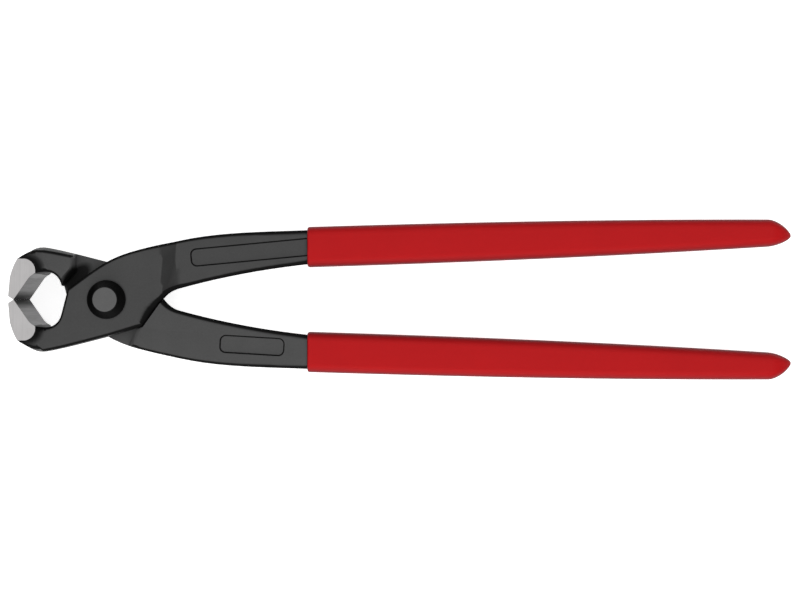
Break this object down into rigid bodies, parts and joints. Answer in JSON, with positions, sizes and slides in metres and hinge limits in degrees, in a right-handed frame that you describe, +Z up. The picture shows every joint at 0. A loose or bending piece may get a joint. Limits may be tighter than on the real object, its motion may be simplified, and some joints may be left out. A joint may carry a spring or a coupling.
{
  "type": "concreters nippers",
  "caption": "Long-handled end-cutting nippers for twisting and cutting tying wire, with forged levers crossing in a riveted lap joint, wide ground jaws and plastic-dipped grips.",
  "frame": {"origin": "centre of the flat face under the lower rivet head", "axes": "+X along the tool from the joint towards the grips, +Y across it towards the upper grip, +Z up along the rivet"},
  "size_m": [0.28, 0.0578, 0.024],
  "materials": {
    "black_steel": "black oxide, satin",
    "rivet_steel": "darkened, satin",
    "red_plastic": "dipped, glossy"
  },
  "bodies": {
    "front": {"front_lever": "black_steel", "pivot_rivet": "rivet_steel", "upper_grip": "red_plastic"},
    "rear": {"rear_lever": "black_steel", "lower_grip": "red_plastic"}
  },
  "joints": [
    {"name": "pivot", "type": "hinge", "parent": "front", "child": "rear", "pos_m": [0, 0, 0.0109], "axis": [0, 0, -1], "range_deg": [0, 45]}
  ]
}
